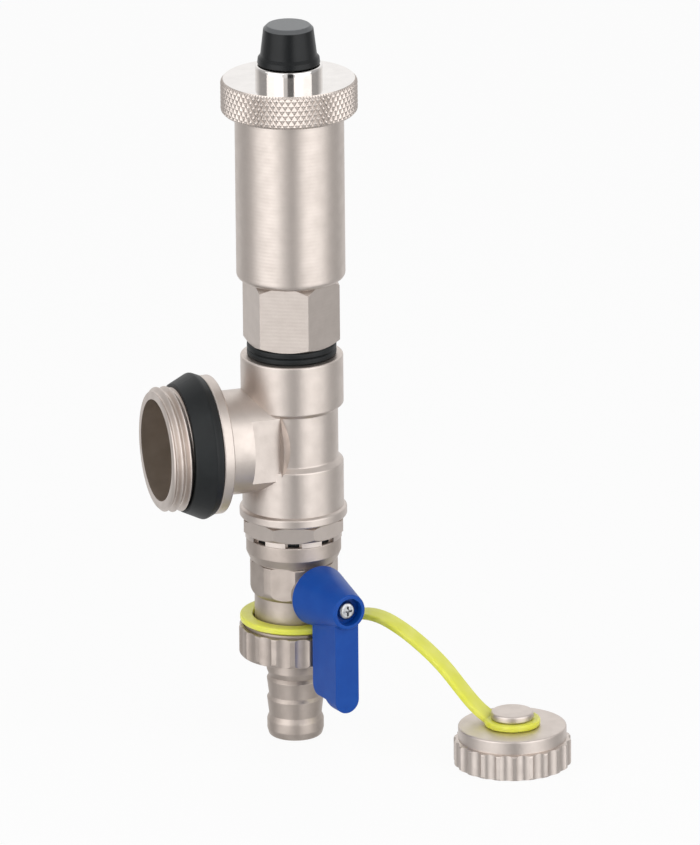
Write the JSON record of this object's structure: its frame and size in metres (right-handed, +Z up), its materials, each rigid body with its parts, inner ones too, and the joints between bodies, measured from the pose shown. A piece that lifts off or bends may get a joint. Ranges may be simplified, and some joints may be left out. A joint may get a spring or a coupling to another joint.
{
  "type": "automatic air vent valve",
  "caption": "Nickel-plated manifold end tee with a float air vent on top, a side port with a rubber seal, and a drain ball valve with a lever, union nut, hose tail and strapped cap below.",
  "frame": {"origin": "on the side port's axis, in the plane where its male thread meets the seal, which is where the manifold's end face comes", "axes": "the port points along -X, +Z up the tee and the air vent"},
  "size_m": [0.0998, 0.0759, 0.1961],
  "materials": {
    "nickel_cast": "nickel plate over tumbled cast brass",
    "nickel_turned": "satin nickel plate over turned brass",
    "nickel_polished": "bright nickel plate over polished brass",
    "black_rubber": "moulded EPDM rubber",
    "black_plastic": "moulded nylon",
    "blue_plastic": "moulded nylon, semi-gloss",
    "strap_plastic": "translucent moulded polyethylene",
    "white_plastic": "moulded polypropylene",
    "seat_plastic": "machined fluoropolymer",
    "ball_plating": "chromium plate over polished brass",
    "stem_brass": "turned brass",
    "screw_steel": "zinc-plated steel"
  },
  "bodies": {
    "root": {"tee_body": "nickel_cast", "port_seal_ring": "black_rubber", "vent_base_seal": "black_rubber", "vent_body": "nickel_turned", "cover_gasket": "black_rubber", "vent_cover": "nickel_turned", "vent_nozzle": "nickel_polished", "lever_bracket": "white_plastic", "lever_pin": "screw_steel", "valve_end_piece": "nickel_cast", "inlet_o_ring": "black_rubber", "valve_body": "nickel_cast", "seat_ring_upper": "seat_plastic", "seat_ring_lower": "seat_plastic"},
    "dust_cap_disc": {"dust_cap_seal": "black_rubber"},
    "dust_cap": {"vent_dust_cap": "black_plastic"},
    "float": {"vent_float": "white_plastic"},
    "lever": {"float_lever": "white_plastic", "nozzle_pad": "black_rubber"},
    "valve_handle": {"valve_ball": "ball_plating", "valve_stem": "stem_brass", "stem_o_rings": "black_rubber", "stem_washer": "seat_plastic", "lever_handle": "blue_plastic", "handle_screw": "screw_steel"},
    "tail": {"hose_tail": "nickel_cast", "tail_gasket": "black_rubber"},
    "nut": {"union_nut": "nickel_cast"},
    "strap": {"cap_strap": "strap_plastic"},
    "cap": {"blanking_cap": "nickel_cast", "cap_gasket": "black_rubber"}
  },
  "joints": [
    {"name": "dust_cap_lift", "type": "slide", "parent": "root", "child": "dust_cap_disc", "axis": [0, 0, 1], "range_m": [0, 0.002]},
    {"name": "dust_cap_turn", "type": "hinge", "parent": "dust_cap_disc", "child": "dust_cap", "pos_m": [0.0319, 0, 0.1035], "axis": [0, 0, 1], "range_deg": [0, 720]},
    {"name": "float_rise", "type": "slide", "parent": "root", "child": "float", "axis": [0, 0, 1], "range_m": [0, 0.00406]},
    {"name": "float_lever_swing", "type": "hinge", "parent": "root", "child": "lever", "pos_m": [0.0259, 0, 0.09043], "axis": [0, -1, 0], "range_deg": [0, 18]},
    {"name": "valve_turn", "type": "hinge", "parent": "root", "child": "valve_handle", "pos_m": [0.0319, 0, -0.0407], "axis": [0.2028, -0.9792, 0], "range_deg": [-90, 0]},
    {"name": "tail_drop", "type": "slide", "parent": "root", "child": "tail", "axis": [0, 0, -1], "range_m": [0, 0.00272]},
    {"name": "nut_turn", "type": "hinge", "parent": "tail", "child": "nut", "pos_m": [0.0319, 0, -0.056], "axis": [0, 0, -1], "range_deg": [0, 540]},
    {"name": "strap_swivel", "type": "hinge", "parent": "root", "child": "strap", "pos_m": [0.0319, 0, -0.05015], "axis": [0, 0, 1], "range_deg": [-10, 290]},
    {"name": "cap_spin", "type": "hinge", "parent": "strap", "child": "cap", "pos_m": [0.0787, -0.041, -0.0716], "axis": [0, 0, 1], "continuous": true}
  ],
  "couplings": [
    {"joint": "dust_cap_turn", "follows": "dust_cap_lift", "rad_per_m": 6283.2},
    {"joint": "float_lever_swing", "follows": "float_rise", "rad_per_m": 77.3},
    {"joint": "nut_turn", "follows": "tail_drop", "rad_per_m": 3463.7}
  ]
}
